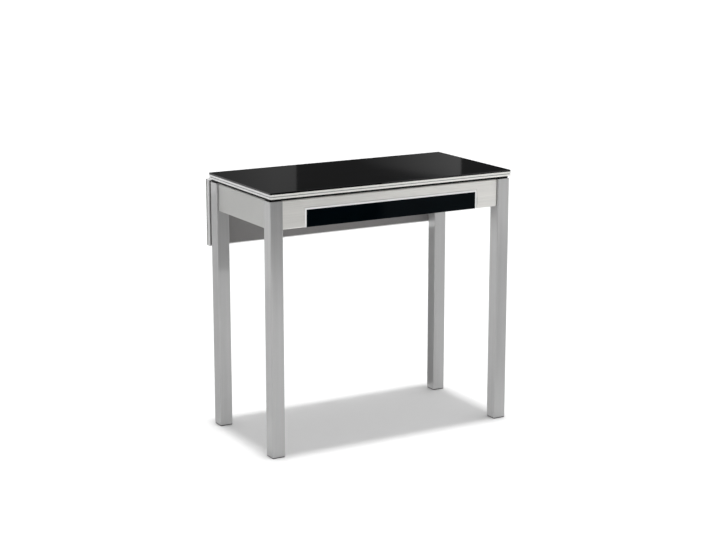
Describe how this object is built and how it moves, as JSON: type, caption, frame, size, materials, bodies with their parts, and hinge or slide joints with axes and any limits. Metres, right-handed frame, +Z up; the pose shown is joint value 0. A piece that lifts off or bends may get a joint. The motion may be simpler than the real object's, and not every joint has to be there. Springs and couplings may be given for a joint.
{
  "type": "extending kitchen table",
  "caption": "Narrow kitchen table with a black glass top, square metal legs, a shallow glass-fronted drawer and a rear drop leaf held up by slotted stays.",
  "frame": {"origin": "on the floor, under the middle of the closed table with its leaf hanging", "axes": "+X along the width towards the right of someone facing the drawer, -Y the way the drawer opens, +Z up"},
  "size_m": [0.8, 0.4224, 0.77],
  "materials": {
    "silver_paint": "satin silver-grey powder coat",
    "brushed_front": "fine brushed aluminium, grain along the length",
    "black_glass": "polished tempered glass, painted black behind",
    "satin_aluminium": "satin anodised extrusion",
    "grey_board": "matt grey laminate on fibreboard",
    "drawer_board": "matt light grey laminate",
    "black_plastic": "moulded, matt",
    "zinc_steel": "zinc plated",
    "runner_enamel": "pale grey epoxy enamel",
    "nylon": "moulded nylon",
    "bumper_rubber": "moulded, matt"
  },
  "bodies": {
    "frame": {"leg_front_left": "silver_paint", "leg_front_right": "silver_paint", "leg_rear_left": "silver_paint", "leg_rear_right": "silver_paint", "foot_front_left": "black_plastic", "foot_front_right": "black_plastic", "foot_rear_left": "black_plastic", "foot_rear_right": "black_plastic", "leg_caps": "black_plastic", "apron_front": "brushed_front", "apron_rear": "silver_paint", "apron_left": "silver_paint", "apron_right": "silver_paint", "frame_bolts": "zinc_steel", "leg_nuts": "zinc_steel", "top_board": "grey_board", "top_glass": "black_glass", "top_edge_front": "satin_aluminium", "top_edge_rear": "satin_aluminium", "top_edge_left": "satin_aluminium", "top_edge_right": "satin_aluminium", "top_spacers": "black_plastic", "top_screws": "zinc_steel", "drawer_bearer_left": "runner_enamel", "drawer_bearer_right": "runner_enamel", "runner_fixed_left": "runner_enamel", "runner_fixed_right": "runner_enamel", "hinge_plates_top": "zinc_steel", "hinge_pins": "zinc_steel", "hinge_screws": "zinc_steel", "stay_guide_left": "zinc_steel", "stay_guide_right": "zinc_steel", "leaf_bumpers": "bumper_rubber"},
    "leaf": {"leaf_board": "grey_board", "leaf_glass": "black_glass", "leaf_edge_inner": "satin_aluminium", "leaf_edge_outer": "satin_aluminium", "leaf_edge_left": "satin_aluminium", "leaf_edge_right": "satin_aluminium", "hinge_plates_leaf": "zinc_steel", "leaf_screws": "zinc_steel", "stay_bracket_left": "zinc_steel", "stay_bracket_right": "zinc_steel"},
    "stay_left": {"stay_left": "zinc_steel"},
    "stay_right": {"stay_right": "zinc_steel"},
    "drawer": {"drawer_glass": "black_glass", "drawer_trim": "satin_aluminium", "drawer_inner_front": "drawer_board", "drawer_side_left": "drawer_board", "drawer_side_right": "drawer_board", "drawer_back": "drawer_board", "drawer_bottom": "drawer_board", "runner_moving_left": "runner_enamel", "runner_moving_right": "runner_enamel"},
    "roller_front_left": {"roller_front_left": "nylon"},
    "roller_front_right": {"roller_front_right": "nylon"},
    "roller_rear_left": {"roller_rear_left": "nylon"},
    "roller_rear_right": {"roller_rear_right": "nylon"}
  },
  "joints": [
    {"name": "leaf_hinge", "type": "hinge", "parent": "frame", "child": "leaf", "pos_m": [0, 0.18915, 0.748], "axis": [1, 0, 0], "range_deg": [0, 90]},
    {"name": "stay_left_pivot", "type": "hinge", "parent": "leaf", "child": "stay_left", "pos_m": [-0.3305, 0.18615, 0.68807], "axis": [1, 0, 0], "range_deg": [-45, 0]},
    {"name": "stay_right_pivot", "type": "hinge", "parent": "leaf", "child": "stay_right", "pos_m": [0.3305, 0.18615, 0.68807], "axis": [1, 0, 0], "range_deg": [-45, 0]},
    {"name": "drawer_slide", "type": "slide", "parent": "frame", "child": "drawer", "axis": [0, -1, 0], "range_m": [0, 0.25]},
    {"name": "roller_front_left_spin", "type": "hinge", "parent": "frame", "child": "roller_front_left", "pos_m": [-0.28415, -0.17015, 0.676], "axis": [1, 0, 0], "range_deg": [0, 1840]},
    {"name": "roller_rear_left_spin", "type": "hinge", "parent": "drawer", "child": "roller_rear_left", "pos_m": [-0.28085, 0.10385, 0.6752], "axis": [1, 0, 0], "range_deg": [0, 1840]},
    {"name": "roller_front_right_spin", "type": "hinge", "parent": "frame", "child": "roller_front_right", "pos_m": [0.28415, -0.17015, 0.676], "axis": [1, 0, 0], "range_deg": [0, 1840]},
    {"name": "roller_rear_right_spin", "type": "hinge", "parent": "drawer", "child": "roller_rear_right", "pos_m": [0.28085, 0.10385, 0.6752], "axis": [1, 0, 0], "range_deg": [0, 1840]}
  ],
  "couplings": [
    {"joint": "stay_left_pivot", "follows": "leaf_hinge", "ratio": -0.5},
    {"joint": "stay_right_pivot", "follows": "leaf_hinge", "ratio": -0.5},
    {"joint": "roller_front_left_spin", "follows": "drawer_slide", "rad_per_m": 128.21},
    {"joint": "roller_rear_left_spin", "follows": "drawer_slide", "rad_per_m": 128.21},
    {"joint": "roller_front_right_spin", "follows": "drawer_slide", "rad_per_m": 128.21},
    {"joint": "roller_rear_right_spin", "follows": "drawer_slide", "rad_per_m": 128.21}
  ]
}
